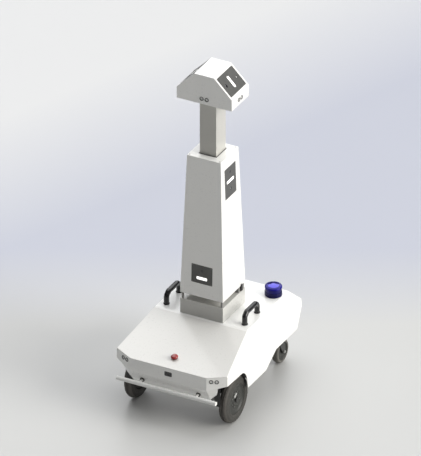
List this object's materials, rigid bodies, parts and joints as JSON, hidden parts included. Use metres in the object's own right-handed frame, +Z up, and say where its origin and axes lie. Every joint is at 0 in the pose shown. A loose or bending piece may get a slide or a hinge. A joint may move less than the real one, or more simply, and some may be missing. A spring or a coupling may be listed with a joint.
{
  "type": "mobile scanning robot",
  "caption": "Wheeled scanning robot: low car-like chassis, tapered tower, lifting mast with a house-shaped sensor head, and a spinning lidar puck on the rear deck.",
  "frame": {"origin": "on the floor, below the centre of the robot's bounding box", "axes": "+Z up along the tower and mast, the front with the bumper bar faces -Y, +X is to the right of someone looking at the front"},
  "size_m": [0.724, 1.069, 2.093],
  "materials": {
    "white_shell": "glossy white paint",
    "module_plate": "satin anthracite",
    "lens_glass": "glossy black lens",
    "light_bar": "white diffuser",
    "sensor_black": "satin black",
    "handle_black": "glossy black",
    "black_plastic": "satin black",
    "black_metal": "black powder coat",
    "belly_black": "satin grey",
    "bumper_metal": "satin anodised",
    "bright_steel": "bright",
    "tyre": "matt rubber",
    "caster_rubber": "matt rubber",
    "hub_metal": "satin dark grey",
    "frame_metal": "black powder coat",
    "battery_case": "satin",
    "electronics": "matt",
    "lidar_body": "glossy navy",
    "lidar_window": "glossy dark navy",
    "lidar_cap": "glossy deep blue",
    "estop_red": "glossy red",
    "mast_metal": "white paint",
    "lift_metal": "satin",
    "plinth_metal": "glossy white paint",
    "standoff_metal": "grey paint"
  },
  "bodies": {
    "chassis": {"battery_pack": "battery_case", "belly_pan": "belly_black", "bumper_sleeves": "black_plastic", "caster_mount_left": "black_metal", "caster_mount_right": "black_metal", "chassis_frame": "frame_metal", "control_box": "electronics", "corner_sonars": "sensor_black", "deck_cover": "white_shell", "depth_camera": "sensor_black", "drive_axles": "bright_steel", "estop_collar": "black_plastic", "flank_cover_left": "white_shell", "flank_cover_right": "white_shell", "front_cover": "white_shell", "handle_left": "handle_black", "handle_right": "handle_black", "hood_cover": "white_shell", "lidar_base": "lidar_body", "lidar_cap": "lidar_cap", "lidar_motor": "electronics", "lidar_screws": "bright_steel", "lidar_window": "lidar_window", "lift_column": "lift_metal", "plinth": "plinth_metal", "rear_cover": "white_shell", "tower_cap": "white_shell", "tower_front_plate": "module_plate", "tower_latches": "black_plastic", "tower_lenses": "lens_glass", "tower_lights": "light_bar", "tower_shell": "white_shell", "tower_side_plate": "module_plate", "tower_standoffs": "standoff_metal", "wheel_arch_left": "belly_black", "wheel_arch_right": "belly_black", "wheel_brackets": "black_metal"},
    "drive_wheel_right": {"drive_tyre_right": "tyre", "hub_motor_right": "hub_metal"},
    "drive_wheel_left": {"drive_tyre_left": "tyre", "hub_motor_left": "hub_metal"},
    "caster_swivel_right": {"caster_fork_right": "black_metal", "caster_axle_right": "bright_steel"},
    "caster_roller_right": {"caster_wheel_right": "caster_rubber"},
    "caster_swivel_left": {"caster_fork_left": "black_metal", "caster_axle_left": "bright_steel"},
    "caster_roller_left": {"caster_wheel_left": "caster_rubber"},
    "mast_and_head": {"mast": "mast_metal", "lift_nut": "black_plastic", "head_base": "white_shell", "head_shell": "white_shell", "head_plates": "module_plate", "head_lenses": "lens_glass", "head_lights": "light_bar", "head_sonars": "sensor_black"},
    "bumper": {"bumper_bar": "bumper_metal", "bumper_caps": "white_shell", "bumper_rods": "bright_steel"},
    "estop": {"estop_button": "estop_red"},
    "lidar_spinner": {"lidar_rotor": "electronics"}
  },
  "joints": [
    {"name": "drive_right", "type": "hinge", "parent": "chassis", "child": "drive_wheel_right", "pos_m": [0.31, -0.281, 0.145], "axis": [1, 0, 0], "continuous": true},
    {"name": "drive_left", "type": "hinge", "parent": "chassis", "child": "drive_wheel_left", "pos_m": [-0.31, -0.281, 0.145], "axis": [1, 0, 0], "continuous": true},
    {"name": "caster_swivel_right", "type": "hinge", "parent": "chassis", "child": "caster_swivel_right", "pos_m": [0.242, 0.4, 0.12], "axis": [0, 0, 1], "continuous": true},
    {"name": "caster_roll_right", "type": "hinge", "parent": "caster_swivel_right", "child": "caster_roller_right", "pos_m": [0.242, 0.438, 0.075], "axis": [1, 0, 0], "continuous": true},
    {"name": "caster_swivel_left", "type": "hinge", "parent": "chassis", "child": "caster_swivel_left", "pos_m": [-0.242, 0.4, 0.12], "axis": [0, 0, 1], "continuous": true},
    {"name": "caster_roll_left", "type": "hinge", "parent": "caster_swivel_left", "child": "caster_roller_left", "pos_m": [-0.242, 0.438, 0.075], "axis": [1, 0, 0], "continuous": true},
    {"name": "mast_lift", "type": "slide", "parent": "chassis", "child": "mast_and_head", "axis": [0, 0, 1], "range_m": [-0.3, 0]},
    {"name": "bumper_push", "type": "slide", "parent": "chassis", "child": "bumper", "axis": [0, 1, 0], "range_m": [0, 0.012], "stiffness_N_per_m": 2500},
    {"name": "estop_push", "type": "slide", "parent": "chassis", "child": "estop", "axis": [0, 0.282, -0.9594], "range_m": [0, 0.004], "stiffness_N_per_m": 1500},
    {"name": "lidar_spin", "type": "hinge", "parent": "chassis", "child": "lidar_spinner", "pos_m": [0.245, 0.346, 0.528], "axis": [0, 0, 1], "continuous": true}
  ]
}
